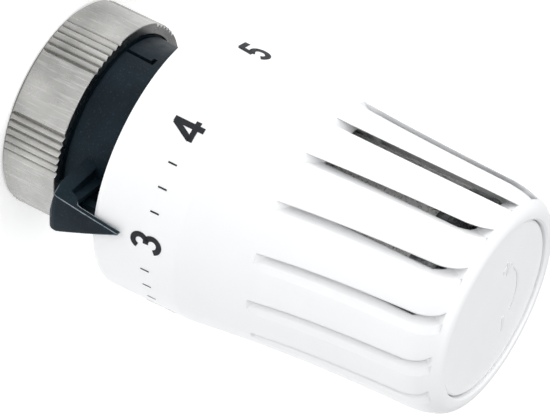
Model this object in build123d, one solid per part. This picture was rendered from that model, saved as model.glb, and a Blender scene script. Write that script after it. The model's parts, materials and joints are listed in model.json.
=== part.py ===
from build123d import *
import os
from math import atan2, cos, degrees, radians, sin, sqrt

# Thermostatic radiator valve head.  Millimetres and degrees.
# +Z runs along the head's axis from the valve towards the numbered end.
# The origin is the centre of the union nut's valve-side face.

# ---------------------------------------------------------------- overall sizes
HEAD_LENGTH = 86.0
WHEEL_RADIUS = 24.2
WHEEL_REAR_Z = 22.1
NUT_RADIUS = 18.8
NUT_LENGTH = 10.95
LEAD_RADIUS = 16.0

# ---------------------------------------------------------------- clearances
RUNNING_GAP = 0.08
PIN_GAP = 0.05
KEY_GAP = 0.12
FREE_GAP = 0.3
FACE_GAP = 0.1
SEAT_GAP = 0.02

# ---------------------------------------------------------------- union nut, M30 x 1.5
THREAD_MAJOR_RADIUS = 15.0
THREAD_PITCH = 1.5
THREAD_MINOR_RADIUS = THREAD_MAJOR_RADIUS - 0.54127 * THREAD_PITCH
THREAD_MOUTH = 0.9
THREAD_RELIEF = 2.2
NUT_CHAMBER_RADIUS = THREAD_MAJOR_RADIUS + 0.4
NUT_RECESS = 1.35
NUT_LIP = 1.2
NUT_LIP_TOP = NUT_LENGTH - NUT_RECESS
NUT_LIP_BOTTOM = NUT_LIP_TOP - NUT_LIP
NUT_FRONT_WALL = 1.8
NUT_REAR_EDGE = 0.7
NUT_FRONT_EDGE = 0.12
THREAD_LENGTH = NUT_LIP_BOTTOM - THREAD_RELIEF
GRIP_FIELDS = 6
GRIP_FIRST_ANGLE = -121.0
GRIP_FIELD_ARC = 26.0
GRIP_TEETH = 6
GRIP_DEPTH = 0.62

# ---------------------------------------------------------------- retaining ring of the nut
NOSE_RADIUS = 13.5
NUT_RING_THICKNESS = 0.7
NUT_RING_DEPTH = 0.75
NUT_RING_INNER = NOSE_RADIUS - NUT_RING_DEPTH
NUT_RING_OUTER = NUT_CHAMBER_RADIUS - 0.5
NUT_RING_BOTTOM = NUT_LIP_BOTTOM - NUT_RING_THICKNESS - 0.25
RING_SPLIT_ARC = 40.0

# ---------------------------------------------------------------- base housing
NOSE_BOTTOM = NUT_RING_BOTTOM - 0.95
NOSE_BORE = 9.0
FLANGE_RADIUS = NUT_RADIUS - NUT_FRONT_WALL - FREE_GAP
FLANGE_THICKNESS = 1.05
FLANGE_BOTTOM = NUT_LIP_TOP + 0.2
FLANGE_TOP = FLANGE_BOTTOM + FLANGE_THICKNESS
NECK_HEIGHT = 0.4
NECK_TOP = FLANGE_TOP + NECK_HEIGHT
COLLAR_FLARE = 0.6
COLLAR_REAR_RADIUS = LEAD_RADIUS + COLLAR_FLARE
NECK_RADIUS = COLLAR_REAR_RADIUS - 0.7
LEAD_START = WHEEL_REAR_Z + 1.9
LEAD_LENGTH = 15.0
LEAD_END = LEAD_START + LEAD_LENGTH
LEAD_WALL = 1.7
COLLAR_BORE = LEAD_RADIUS - LEAD_WALL
FLOOR_THICKNESS = 2.1
FLOOR_TOP = FLANGE_BOTTOM + FLOOR_THICKNESS
BUSH_RADIUS = 3.5
BOSS_WALL = 2.5
BOSS_DROP = 1.2
BOSS_BOTTOM = FLANGE_BOTTOM - BOSS_DROP
KEY_COUNT = 3
KEY_FIRST_ANGLE = 90.0
KEY_WIDTH = 5.0
KEY_DEPTH = 0.8
KEYWAY_BOTTOM = LEAD_START - 2.0
GUIDE_TUBE_TOP = LEAD_START
GUIDE_TUBE_WALL = 1.4
COLLAR_SLIT_ANGLE = -136.5
COLLAR_SLIT_WIDTH = 0.75
COLLAR_SLIT_LENGTH = 5.6
COLLAR_NOTCH = 1.3

# ---------------------------------------------------------------- pointer, part of the base
POINTER_ANGLE = -50.5
POINTER_LIFT = 0.35
POINTER_SKIN = 0.85
POINTER_WALL = 1.9
POINTER_REAR = NECK_TOP + 2.65
POINTER_EDGE = 1.6
POINTER_PLATE = 3.3
POINTER_SLOPE = 1.1
POINTER_TURN = 5.5
POINTER_TIP = WHEEL_REAR_Z + 5.9
POINTER_STEP = WHEEL_REAR_Z - 2.7
POINTER_HALF_WIDTH = 3.4
POINTER_CREST = 4.06
POINTER_BEVEL = 1.55
POINTER_RIB = 0.9
POINTER_RIB_SPACING = 7.0
STOP_FINGER_THICKNESS = 1.6
STOP_FINGER_WIDTH = 2.0

# ---------------------------------------------------------------- carrier legs, cup and pin
LEG_WALL = 1.4
LEG_WIDTH = 9.0
LEG_BOTTOM = KEYWAY_BOTTOM + 4.0
LEG_OUTER = COLLAR_BORE - KEY_GAP
LEG_INNER = LEG_OUTER - LEG_WALL
PIN_RADIUS = 2.0
PIN_TIP = NOSE_BOTTOM + 0.7
PIN_EDGE = 0.4
BUSH_FLANGE_RADIUS = BUSH_RADIUS + 1.5
BUSH_FLANGE = 0.5
CUP_SIDE_ROOM = 2.3
CUP_RADIUS = LEG_INNER - CUP_SIDE_ROOM - GUIDE_TUBE_WALL - RUNNING_GAP
CUP_WALL = 1.0
CUP_TRAVEL_ROOM = 4.2
CUP_BOTTOM = FLOOR_TOP + BUSH_FLANGE + CUP_TRAVEL_ROOM
CUP_FLOOR = 1.6
CUP_LENGTH = 18.0
CUP_TOP = CUP_BOTTOM + CUP_LENGTH
CLIP_BOTTOM = CUP_TOP - 1.3
CLIP_THICKNESS = 0.6
CLIP_DEPTH = 0.45
CLIP_INNER = CUP_RADIUS - CUP_WALL - 1.6
COVER_THICKNESS = 2.0
COVER_TOP = CLIP_BOTTOM - FACE_GAP
COVER_BOTTOM = COVER_TOP - COVER_THICKNESS
COVER_SPIGOT = 2.4
COVER_STEM_RADIUS = 3.2
COVER_STEM = 3.8
SPRING_WIRE = 0.7
SPRING_TURNS = 5.5
SPRING_SIDE_GAP = 0.7
SPRING_MEAN_RADIUS = CUP_RADIUS - CUP_WALL - SPRING_SIDE_GAP - SPRING_WIRE
COVER_SPIGOT_RADIUS = SPRING_MEAN_RADIUS - SPRING_WIRE - SPRING_SIDE_GAP
PLUNGER_BOTTOM = COVER_TOP + COVER_STEM

# ---------------------------------------------------------------- adjusting sleeve and washer
SLEEVE_INNER = LEAD_RADIUS + RUNNING_GAP
SLEEVE_WALL = 1.52
SLEEVE_OUTER = SLEEVE_INNER + SLEEVE_WALL
SLEEVE_BOTTOM = LEAD_START + 4.5
SLEEVE_TOP = LEAD_END + 2.2
SLEEVE_LUGS = 4
SLEEVE_LUG_ANGLE = 20.0
SLEEVE_LUG_WIDTH = 3.2
SLEEVE_LUG_LENGTH = 3.6
SLEEVE_LUG_HEIGHT = 0.7
WASHER_INNER = SLEEVE_INNER + 0.22
WASHER_THICKNESS = 0.9

# ---------------------------------------------------------------- carrier and sensor
CARRIER_WALL = 1.2
CARRIER_FLOOR = 3.3
CARRIER_BOTTOM = SLEEVE_TOP + WASHER_THICKNESS + FREE_GAP
CAN_RADIUS = SLEEVE_OUTER - CARRIER_WALL
CAN_WALL = 0.5
CAN_SEAT = 4.3
CAN_BOTTOM = CARRIER_BOTTOM + CARRIER_FLOOR
CAN_STEP = HEAD_LENGTH - 12.0
CAN_STEP_DEPTH = 0.6
CAN_TOP = HEAD_LENGTH - 7.8
CAN_EDGE = 2.4
CAN_LIP = 0.9
CAN_DISH = 0.8
SENSOR_CAP_TOP = CAN_TOP + 0.8
SENSOR_CAP_OPENING = 8.0
CARRIER_TOP = CAN_BOTTOM + CAN_SEAT
PLUNGER_RADIUS = 3.5
END_PLATE = 1.2
NECK_WALL = 1.4
NECK_BOTTOM = CARRIER_BOTTOM + 0.8
NECK_REACH = 8.0
CARRIER_BORE = PLUNGER_RADIUS + NECK_WALL + 0.7
BELLOWS_INNER = PLUNGER_RADIUS + 3.9
BELLOWS_DEPTH = 3.2
BELLOWS_OUTER = BELLOWS_INNER + BELLOWS_DEPTH
BELLOWS_WALL = 0.35
BELLOWS_FOLDS = 8
BELLOWS_CAP = 1.2
BELLOWS_HEADROOM = 12.2
BELLOWS_BOTTOM = CAN_BOTTOM + CAN_WALL + END_PLATE
BELLOWS_TOP = CAN_TOP - BELLOWS_HEADROOM
PLUG_RADIUS = 1.8
PLUG_HEAD = 2.9
PLUG_NIB = 1.1

# ---------------------------------------------------------------- snap ring
SNAP_RING_INNER = CAN_RADIUS + FREE_GAP
SNAP_RING_DEPTH = 0.6
SNAP_RING_THICKNESS = 0.8
SNAP_RING_BOTTOM = CARRIER_TOP + FACE_GAP

# ---------------------------------------------------------------- handwheel
HUB_WALL = 1.3
HUB_OUTER = SLEEVE_OUTER + HUB_WALL
HUB_BOTTOM = SLEEVE_BOTTOM - 0.9
HUB_TOP = SNAP_RING_BOTTOM + SNAP_RING_THICKNESS + 1.1
WEB_BOTTOM = HUB_BOTTOM + 3.4
WEB_TOP = WEB_BOTTOM + 2.0
SHELL_WALL = 2.2
SHELL_INNER = WHEEL_RADIUS - SHELL_WALL
SHOULDER_Z = 38.4
ROUND_START = HEAD_LENGTH - 7.0
RIM_EDGE = 1.0
DISC_RADIUS = 15.8
DISC_GAP = 0.25
DISC_SINK = 0.6
DISC_THICKNESS = 1.7
DISC_EDGE = 0.3
DISC_BOTTOM = HEAD_LENGTH - DISC_SINK - DISC_THICKNESS
RIM_TOP_RADIUS = DISC_RADIUS + 1.1
END_WALL = 1.8
# Radius of the outer surface as a share of the rear radius, at shares of the length
# from the shoulder to the start of the rounded end.
TAPER = [
    (0.00, 0.990),
    (0.10, 0.968),
    (0.20, 0.946),
    (0.35, 0.918),
    (0.50, 0.895),
    (0.65, 0.878),
    (0.80, 0.865),
    (0.94, 0.856),
    (1.00, 0.852),
]
FLANK_WALL = 1.22
INNER_RADIUS = TAPER[-1][1] * WHEEL_RADIUS - FLANK_WALL

# ---------------------------------------------------------------- ventilation slots
SLOT_COUNT = 15
SLOT_FIRST_ANGLE = -90.6
SLOT_SLANT = 48.0
SLOT_START = SHOULDER_Z + 13.2
SLOT_RAMP = 4.6
SLOT_WIDTH_START = 1.85
SLOT_WIDTH_END = 1.95
SLOT_RUN_OUT = 3.1
SLOT_END_DROP = 1.3
SLOT_FLOOR_DEPTH = 1.5
SLOT_BEVEL_WIDTH = 1.15
SLOT_BEVEL_DEPTH = 0.34
SLOT_BEVEL_RUN_IN = 2.0
SLOT_OVERCUT = 1.6

# ---------------------------------------------------------------- stops and clips
TURN_BACK = 140.0
TURN_ON = 100.0
STOP_FINGER_RADIUS = (HUB_OUTER + SHELL_INNER) / 2
STOP_FINGER_TOP = WEB_BOTTOM - 3.5
STOP_FINGER_ANGLE = POINTER_ANGLE + 4.5
STOP_RIB_WIDTH = 1.6
STOP_RIB_BOTTOM = STOP_FINGER_TOP - 3.5
STOP_MARGIN = 0.3
CLIP_LEG_RADIUS = 11.0
CLIP_LEG_WIDTH = 4.0
CLIP_LEG = 1.3
CLIP_HOOK = 0.8
CLIP_HOOK_HEIGHT = 1.2
CLIP_LEGS = 3
CLIP_LEG_ANGLE = 30.0
LIMIT_CLIP_LENGTH = WEB_BOTTOM - WHEEL_REAR_Z - 1.5
LIMIT_CLIP_WIDTH = 2.4
LIMIT_CLIP_THICKNESS = 1.8
LIMIT_CLIP_HEAD = 1.0
LIMIT_CLIP_SPACING = 34.0
LIMIT_CLIP_WALL = 0.9
MERGE = 0.3


# ---------------------------------------------------------------- helpers
def turned(points, arc=360.0, start=0.0):
    """Solid of revolution about Z from (radius, z) corners."""
    outline = Polyline(*[(r, 0, z) for r, z in points], close=True)
    solid = revolve(make_face(outline.edges()), axis=Axis.Z, revolution_arc=arc)
    return Rot(0, 0, start) * solid


def tube(inner, outer, bottom, top):
    """Plain ring or, with inner = 0, a plain disc."""
    body = Pos(0, 0, (bottom + top) / 2) * Cylinder(outer, top - bottom)
    if inner <= 0:
        return body
    return body - Pos(0, 0, (bottom + top) / 2) * Cylinder(inner, top - bottom + 1)


def sector(inner, outer, bottom, top, start, end):
    """Part of a ring between two angles."""
    corners = [(inner, bottom), (outer, bottom), (outer, top), (inner, top)]
    return turned(corners, arc=end - start, start=start)


def radial_block(inner, outer, width, bottom, top, angle):
    """Block that runs outwards from the axis at an angle."""
    block = Box(outer - inner, width, top - bottom)
    return Rot(0, 0, angle) * (Pos((inner + outer) / 2, 0, (bottom + top) / 2) * block)


def spread(count, first=0.0):
    """Evenly spaced angles."""
    return [first + 360.0 * i / count for i in range(count)]


def arc_width(length, radius):
    """Angle that a length takes at a radius."""
    return degrees(length / radius)


# ---------------------------------------------------------------- nut and its ring
def union_nut():
    recess_radius = FLANGE_RADIUS + FREE_GAP
    lip_radius = NOSE_RADIUS + FREE_GAP
    relief = THREAD_LENGTH + (NUT_CHAMBER_RADIUS - THREAD_MINOR_RADIUS) / 2
    nut = turned([
        (THREAD_MINOR_RADIUS + THREAD_MOUTH, 0),
        (NUT_RADIUS - NUT_REAR_EDGE, 0),
        (NUT_RADIUS, NUT_REAR_EDGE),
        (NUT_RADIUS, NUT_LENGTH - NUT_FRONT_EDGE),
        (NUT_RADIUS - NUT_FRONT_EDGE, NUT_LENGTH),
        (recess_radius, NUT_LENGTH),
        (recess_radius, NUT_LIP_TOP),
        (lip_radius, NUT_LIP_TOP),
        (lip_radius, NUT_LIP_BOTTOM),
        (NUT_CHAMBER_RADIUS, NUT_LIP_BOTTOM),
        (NUT_CHAMBER_RADIUS, relief),
        (THREAD_MINOR_RADIUS, THREAD_LENGTH),
        (THREAD_MINOR_RADIUS, THREAD_MOUTH),
    ])
    tooth = GRIP_FIELD_ARC / GRIP_TEETH
    rise = 0.5
    half = NUT_RADIUS * radians(tooth) / 2 * (GRIP_DEPTH + rise) / GRIP_DEPTH
    groove = Polyline(
        (NUT_RADIUS - GRIP_DEPTH, 0),
        (NUT_RADIUS + rise, half),
        (NUT_RADIUS + rise, -half),
        close=True,
    )
    cutter = extrude(make_face(groove.edges()), amount=NUT_LENGTH + 1, dir=(0, 0, 1))
    cutters = []
    for field in spread(GRIP_FIELDS, GRIP_FIRST_ANGLE):
        for i in range(GRIP_TEETH):
            angle = field + (i - (GRIP_TEETH - 1) / 2) * tooth
            cutters.append(Rot(0, 0, angle) * cutter)
    return nut - cutters


def nut_retaining_ring():
    split = RING_SPLIT_ARC / 2
    top = NUT_RING_BOTTOM + NUT_RING_THICKNESS
    return sector(NUT_RING_INNER, NUT_RING_OUTER, NUT_RING_BOTTOM, top, split, 360 - split)


# ---------------------------------------------------------------- base housing
def polar(radius, angle):
    """Point in the cross-section at a radius and an angle."""
    return (radius * cos(radians(angle)), radius * sin(radians(angle)))


def pointer_outline(distance, bevel):
    """Face across the pointer's radial direction; bevel widens its crest side."""
    outer = WHEEL_RADIUS + POINTER_LIFT + POINTER_SKIN
    tip = -outer * sin(radians(POINTER_TURN))
    tip_half = 0.08
    crest_z = POINTER_REAR + POINTER_SLOPE
    crest_end = POINTER_STEP + 0.8
    share = (crest_end - crest_z) / (POINTER_TIP - crest_z)
    crest_side = -POINTER_CREST + (tip + POINTER_CREST) * share
    outline = Polyline(
        (POINTER_HALF_WIDTH, POINTER_REAR - 0.2),
        (POINTER_HALF_WIDTH, POINTER_REAR + 2.1),
        (tip + tip_half, POINTER_TIP),
        (tip - tip_half, POINTER_TIP),
        (crest_side, crest_end),
        (-POINTER_CREST - bevel, crest_z),
        close=True,
    )
    plane = Plane(origin=(distance, 0, 0), x_dir=(0, 1, 0), z_dir=(1, 0, 0))
    return plane * make_face(outline.edges())


def pointer():
    """Hollow pointer that reaches over the wheel's rear edge."""
    inner = WHEEL_RADIUS + POINTER_LIFT
    outer = inner + POINTER_SKIN
    wall_inner = outer - POINTER_WALL
    root = LEAD_RADIUS - 0.6
    middle = POINTER_ANGLE + POINTER_TURN
    plate_top = POINTER_REAR + POINTER_PLATE
    step = POINTER_STEP - 0.8
    corner = []
    for angle in (0, 22.5, 45, 67.5, 90):
        corner.append((outer - POINTER_EDGE * (1 - sin(radians(angle))),
                       POINTER_REAR + POINTER_EDGE * (1 - cos(radians(angle)))))
    shell = turned([(root, POINTER_REAR)] + corner + [
        (outer, POINTER_TIP),
        (inner, POINTER_TIP),
        (inner, POINTER_STEP),
        (wall_inner, step),
        (wall_inner, plate_top),
        (root, plate_top),
    ])
    crest_x = sqrt(outer ** 2 - POINTER_CREST ** 2)
    outside = pointer_outline(crest_x, 0)
    inside = pointer_outline(crest_x - POINTER_WALL, POINTER_BEVEL)
    wedge = extrude(outside, amount=1.5, dir=(1, 0, 0))
    wedge += loft([outside, inside], ruled=True)
    wedge += extrude(inside, amount=crest_x, dir=(-1, 0, 0))
    cap = shell & (Rot(0, 0, middle) * wedge)
    ribs = []
    for i in range(3):
        angle = middle - 1 + (i - 1) * POINTER_RIB_SPACING
        ribs.append(radial_block(root, wall_inner + MERGE, POINTER_RIB, plate_top - MERGE,
                                 step + MERGE, angle))
    finger = radial_block(STOP_FINGER_RADIUS - STOP_FINGER_THICKNESS / 2,
                          STOP_FINGER_RADIUS + STOP_FINGER_THICKNESS / 2,
                          STOP_FINGER_WIDTH, plate_top - MERGE, STOP_FINGER_TOP,
                          STOP_FINGER_ANGLE)
    return cap + ribs + finger


def base_housing():
    boss_radius = BUSH_RADIUS + BOSS_WALL
    groove_bottom = NUT_RING_BOTTOM - PIN_GAP
    groove_top = NUT_RING_BOTTOM + NUT_RING_THICKNESS + PIN_GAP
    groove_radius = NUT_RING_INNER - PIN_GAP
    edge = 0.25
    lead_edge = 0.4
    body = turned([
        (BUSH_RADIUS, BOSS_BOTTOM),
        (boss_radius, BOSS_BOTTOM),
        (boss_radius, FLANGE_BOTTOM),
        (NOSE_BORE, FLANGE_BOTTOM),
        (NOSE_BORE, NOSE_BOTTOM),
        (NOSE_RADIUS, NOSE_BOTTOM),
        (NOSE_RADIUS, groove_bottom),
        (groove_radius, groove_bottom),
        (groove_radius, groove_top),
        (NOSE_RADIUS, groove_top),
        (NOSE_RADIUS, FLANGE_BOTTOM),
        (FLANGE_RADIUS, FLANGE_BOTTOM),
        (FLANGE_RADIUS, FLANGE_TOP),
        (NECK_RADIUS, FLANGE_TOP),
        (NECK_RADIUS, NECK_TOP),
        (COLLAR_REAR_RADIUS - edge, NECK_TOP),
        (COLLAR_REAR_RADIUS, NECK_TOP + edge),
        (LEAD_RADIUS, LEAD_START),
        (LEAD_RADIUS, LEAD_END - lead_edge),
        (LEAD_RADIUS - lead_edge, LEAD_END),
        (COLLAR_BORE, LEAD_END),
        (COLLAR_BORE, FLOOR_TOP),
        (BUSH_RADIUS, FLOOR_TOP),
    ])
    guide_inner = CUP_RADIUS + RUNNING_GAP
    body += tube(guide_inner, guide_inner + GUIDE_TUBE_WALL, FLOOR_TOP - MERGE, GUIDE_TUBE_TOP)
    body += pointer()
    cuts = []
    for angle in spread(KEY_COUNT, KEY_FIRST_ANGLE):
        cuts.append(radial_block(COLLAR_BORE - 1, COLLAR_BORE + KEY_DEPTH, KEY_WIDTH,
                                 KEYWAY_BOTTOM, LEAD_END + 1, angle))
    slit_top = NECK_TOP + COLLAR_SLIT_LENGTH
    slit_inner = LEAD_RADIUS - 0.9
    slit_outer = FLANGE_RADIUS + 1
    cuts.append(radial_block(slit_inner, slit_outer, COLLAR_SLIT_WIDTH, FLANGE_TOP + 0.05,
                             slit_top, COLLAR_SLIT_ANGLE))
    notch_angle = COLLAR_SLIT_ANGLE - arc_width(COLLAR_NOTCH / 2, COLLAR_REAR_RADIUS)
    cuts.append(radial_block(slit_inner, slit_outer, COLLAR_NOTCH, slit_top - COLLAR_SLIT_WIDTH,
                             slit_top, notch_angle))
    return body - cuts


def pin_guide_bush():
    return turned([
        (PIN_RADIUS + PIN_GAP, BOSS_BOTTOM),
        (BUSH_RADIUS, BOSS_BOTTOM),
        (BUSH_RADIUS, FLOOR_TOP),
        (BUSH_FLANGE_RADIUS, FLOOR_TOP),
        (BUSH_FLANGE_RADIUS, FLOOR_TOP + BUSH_FLANGE),
        (PIN_RADIUS + PIN_GAP, FLOOR_TOP + BUSH_FLANGE),
    ])


# ---------------------------------------------------------------- pin and overtravel unit
def push_pin():
    top = CUP_BOTTOM + CUP_FLOOR
    return turned([
        (0, PIN_TIP),
        (PIN_RADIUS - PIN_EDGE, PIN_TIP),
        (PIN_RADIUS, PIN_TIP + PIN_EDGE),
        (PIN_RADIUS, top),
        (0, top),
    ])


def overtravel_cup():
    inner = CUP_RADIUS - CUP_WALL
    floor_top = CUP_BOTTOM + CUP_FLOOR
    edge = 0.5
    groove = inner + CLIP_DEPTH + PIN_GAP
    groove_top = CLIP_BOTTOM + CLIP_THICKNESS + PIN_GAP
    return turned([
        (PIN_RADIUS, CUP_BOTTOM),
        (CUP_RADIUS - edge, CUP_BOTTOM),
        (CUP_RADIUS, CUP_BOTTOM + edge),
        (CUP_RADIUS, CUP_TOP),
        (inner, CUP_TOP),
        (inner, groove_top),
        (groove, groove_top),
        (groove, CLIP_BOTTOM),
        (inner, CLIP_BOTTOM),
        (inner, floor_top),
        (PIN_RADIUS, floor_top),
    ])


def cup_circlip():
    split = RING_SPLIT_ARC / 2
    outer = CUP_RADIUS - CUP_WALL + CLIP_DEPTH
    top = CLIP_BOTTOM + CLIP_THICKNESS
    return sector(CLIP_INNER, outer, CLIP_BOTTOM, top, split, 360 - split)


def spring_cover():
    rim = CUP_RADIUS - CUP_WALL - RUNNING_GAP
    edge = 0.5
    return turned([
        (0, COVER_BOTTOM - COVER_SPIGOT),
        (COVER_SPIGOT_RADIUS - edge, COVER_BOTTOM - COVER_SPIGOT),
        (COVER_SPIGOT_RADIUS, COVER_BOTTOM - COVER_SPIGOT + edge),
        (COVER_SPIGOT_RADIUS, COVER_BOTTOM),
        (rim, COVER_BOTTOM),
        (rim, COVER_TOP),
        (COVER_STEM_RADIUS, COVER_TOP),
        (COVER_STEM_RADIUS, PLUNGER_BOTTOM),
        (0, PLUNGER_BOTTOM),
    ])


def overtravel_spring():
    bottom = CUP_BOTTOM + CUP_FLOOR + SPRING_WIRE
    height = COVER_BOTTOM - SPRING_WIRE - bottom
    pitch = height / SPRING_TURNS
    path = Pos(0, 0, bottom) * Helix(pitch=pitch, height=height, radius=SPRING_MEAN_RADIUS)
    section = Plane(origin=path @ 0, z_dir=path % 0) * Circle(SPRING_WIRE)
    return sweep(section, path=path, is_frenet=True)


# ---------------------------------------------------------------- sensor
def can_neck_radius():
    """Radius of the can's stepped-in closed end."""
    return CAN_RADIUS - CAN_STEP_DEPTH


def can_profile(inset):
    """Half outline of the can's closed end, moved inwards by inset."""
    centre_radius = can_neck_radius() - CAN_EDGE
    centre_z = CAN_TOP - CAN_EDGE
    bend = CAN_EDGE - inset
    points = []
    for i in range(7):
        angle = radians(90.0 * i / 6)
        points.append((centre_radius + bend * cos(angle), centre_z + bend * sin(angle)))
    return points


def sensor_can():
    neck = can_neck_radius()
    lip_top = CAN_BOTTOM + CAN_WALL
    lip_inner = CAN_RADIUS - CAN_WALL - CAN_LIP
    dish_outer = neck - CAN_EDGE - 1.0
    dish_inner = dish_outer - 1.4
    dish_z = CAN_TOP - CAN_DISH
    outer = [
        (lip_inner, CAN_BOTTOM),
        (CAN_RADIUS, CAN_BOTTOM),
        (CAN_RADIUS, CAN_STEP),
        (neck, CAN_STEP),
    ]
    dish = [
        (dish_outer, CAN_TOP),
        (dish_inner, dish_z),
        (PLUG_RADIUS, dish_z),
        (PLUG_RADIUS, dish_z - CAN_WALL),
        (dish_inner, dish_z - CAN_WALL),
        (dish_outer, CAN_TOP - CAN_WALL),
    ]
    inner = [
        (neck - CAN_WALL, CAN_STEP - CAN_WALL),
        (CAN_RADIUS - CAN_WALL, CAN_STEP - CAN_WALL),
        (CAN_RADIUS - CAN_WALL, lip_top),
        (lip_inner, lip_top),
    ]
    return turned(outer + can_profile(0) + dish + list(reversed(can_profile(CAN_WALL))) + inner)


def sensor_cap():
    """Plastic cap pressed on the can's closed end."""
    seat = can_neck_radius() + SEAT_GAP
    bottom = CAN_STEP + SEAT_GAP
    underside = CAN_TOP + SEAT_GAP
    edge = 1.2
    mid_edge = 0.35
    return turned([
        (seat, bottom),
        (CAN_RADIUS, bottom),
        (CAN_RADIUS, SENSOR_CAP_TOP - edge),
        (CAN_RADIUS - mid_edge, SENSOR_CAP_TOP - mid_edge),
        (CAN_RADIUS - edge, SENSOR_CAP_TOP),
        (SENSOR_CAP_OPENING, SENSOR_CAP_TOP),
        (SENSOR_CAP_OPENING, underside),
        (seat, underside),
    ])


def sensor_end_plate():
    bottom = CAN_BOTTOM + CAN_WALL
    rim = CAN_RADIUS - CAN_WALL - SEAT_GAP
    guide = PLUNGER_RADIUS + PIN_GAP
    return turned([
        (guide, NECK_BOTTOM),
        (guide + NECK_WALL, NECK_BOTTOM),
        (guide + NECK_WALL, bottom),
        (rim, bottom),
        (rim, BELLOWS_BOTTOM),
        (guide + NECK_WALL, BELLOWS_BOTTOM),
        (guide + NECK_WALL, BELLOWS_BOTTOM + NECK_REACH),
        (guide, BELLOWS_BOTTOM + NECK_REACH),
    ])


def bellows():
    step = (BELLOWS_TOP - BELLOWS_BOTTOM) / (2 * BELLOWS_FOLDS)
    edge = step / 2
    crest = BELLOWS_OUTER - BELLOWS_WALL
    wall = []
    for i in range(BELLOWS_FOLDS):
        z = BELLOWS_BOTTOM + 2 * step * i
        wall.append((BELLOWS_INNER, z))
        wall.append((BELLOWS_INNER, z + edge))
        wall.append((crest, z + step - edge / 2))
        wall.append((crest, z + step + edge / 2))
        wall.append((BELLOWS_INNER, z + 2 * step - edge))
    wall.append((BELLOWS_INNER, BELLOWS_TOP))
    outside = [(r + BELLOWS_WALL, z) for r, z in reversed(wall)]
    points = []
    for point in wall + outside:
        if not points or point != points[-1]:
            points.append(point)
    return turned(points)


def bellows_cap():
    rim = BELLOWS_INNER + BELLOWS_WALL
    top = BELLOWS_TOP + BELLOWS_CAP
    boss = 0.8
    boss_edge = 0.6
    return turned([
        (0, BELLOWS_TOP),
        (rim, BELLOWS_TOP),
        (rim, top),
        (PLUNGER_RADIUS, top),
        (PLUNGER_RADIUS - boss_edge, top + boss),
        (0, top + boss),
    ])


def bellows_plunger():
    edge = 0.5
    return turned([
        (0, PLUNGER_BOTTOM),
        (PLUNGER_RADIUS - edge, PLUNGER_BOTTOM),
        (PLUNGER_RADIUS, PLUNGER_BOTTOM + edge),
        (PLUNGER_RADIUS, BELLOWS_TOP),
        (0, BELLOWS_TOP),
    ])


def filling_plug():
    seat = CAN_TOP - CAN_DISH
    flange = 0.5
    shoulder = 1.0
    height = 2.2
    return turned([
        (0, seat - CAN_WALL),
        (PLUG_RADIUS, seat - CAN_WALL),
        (PLUG_RADIUS, seat),
        (PLUG_HEAD, seat),
        (PLUG_HEAD, seat + flange),
        (PLUG_NIB, seat + shoulder),
        (PLUG_NIB, seat + height),
        (0, seat + height),
    ])


# ---------------------------------------------------------------- carrier
def sensor_carrier():
    journal = SLEEVE_OUTER - RUNNING_GAP
    seat = CAN_RADIUS + SEAT_GAP
    body = turned([
        (CARRIER_BORE, CARRIER_BOTTOM),
        (journal, CARRIER_BOTTOM),
        (journal, CARRIER_TOP),
        (seat, CARRIER_TOP),
        (seat, CAN_BOTTOM),
        (CARRIER_BORE, CAN_BOTTOM),
    ])
    half = arc_width(LEG_WIDTH, LEG_OUTER) / 2
    key_outer = COLLAR_BORE + KEY_DEPTH - KEY_GAP
    key_width = KEY_WIDTH - 2 * KEY_GAP
    for angle in spread(KEY_COUNT, KEY_FIRST_ANGLE):
        body += sector(LEG_INNER, LEG_OUTER, LEG_BOTTOM, CARRIER_BOTTOM + MERGE,
                       angle - half, angle + half)
        body += radial_block(LEG_OUTER - MERGE, key_outer, key_width, LEG_BOTTOM,
                             LEAD_END - 1, angle)
    return body


# ---------------------------------------------------------------- wheel insert, washer, snap ring
def adjusting_sleeve():
    edge = 0.4
    body = turned([
        (SLEEVE_INNER + edge, SLEEVE_BOTTOM),
        (SLEEVE_OUTER, SLEEVE_BOTTOM),
        (SLEEVE_OUTER, SLEEVE_TOP),
        (SLEEVE_INNER, SLEEVE_TOP),
        (SLEEVE_INNER, SLEEVE_BOTTOM + edge),
    ])
    for angle in spread(SLEEVE_LUGS, SLEEVE_LUG_ANGLE):
        body += radial_block(SLEEVE_OUTER - MERGE, SLEEVE_OUTER + SLEEVE_LUG_HEIGHT,
                             SLEEVE_LUG_WIDTH, SLEEVE_BOTTOM,
                             SLEEVE_BOTTOM + SLEEVE_LUG_LENGTH, angle)
    return body


def thrust_washer():
    return tube(WASHER_INNER, SLEEVE_OUTER - FACE_GAP, SLEEVE_TOP, SLEEVE_TOP + WASHER_THICKNESS)


def wheel_snap_ring():
    split = RING_SPLIT_ARC / 2
    top = SNAP_RING_BOTTOM + SNAP_RING_THICKNESS
    return sector(SNAP_RING_INNER, SLEEVE_OUTER + SNAP_RING_DEPTH, SNAP_RING_BOTTOM, top,
                  split, 360 - split)


# ---------------------------------------------------------------- handwheel
def taper_points():
    """(radius, z) points of the slightly hollow tapered flank."""
    span = ROUND_START - SHOULDER_Z
    return [(share * WHEEL_RADIUS, SHOULDER_Z + at * span) for at, share in TAPER]


def round_points():
    """(radius, z) points of the rounded end, from the flank to the rim."""
    across = TAPER[-1][1] * WHEEL_RADIUS - RIM_TOP_RADIUS
    up = HEAD_LENGTH - ROUND_START
    steps = 12
    points = []
    for i in range(1, steps + 1):
        angle = radians(90.0 * i / steps)
        points.append((RIM_TOP_RADIUS + across * cos(angle) ** 0.86,
                       ROUND_START + up * sin(angle) ** 0.96))
    return points


def outer_radius(z):
    """Radius of the wheel's outer surface at a height above the shoulder."""
    points = taper_points() + round_points()
    for (r0, z0), (r1, z1) in zip(points, points[1:]):
        if z0 <= z <= z1:
            return r0 + (r1 - r0) * (z - z0) / (z1 - z0)
    return points[-1][0]


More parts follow.
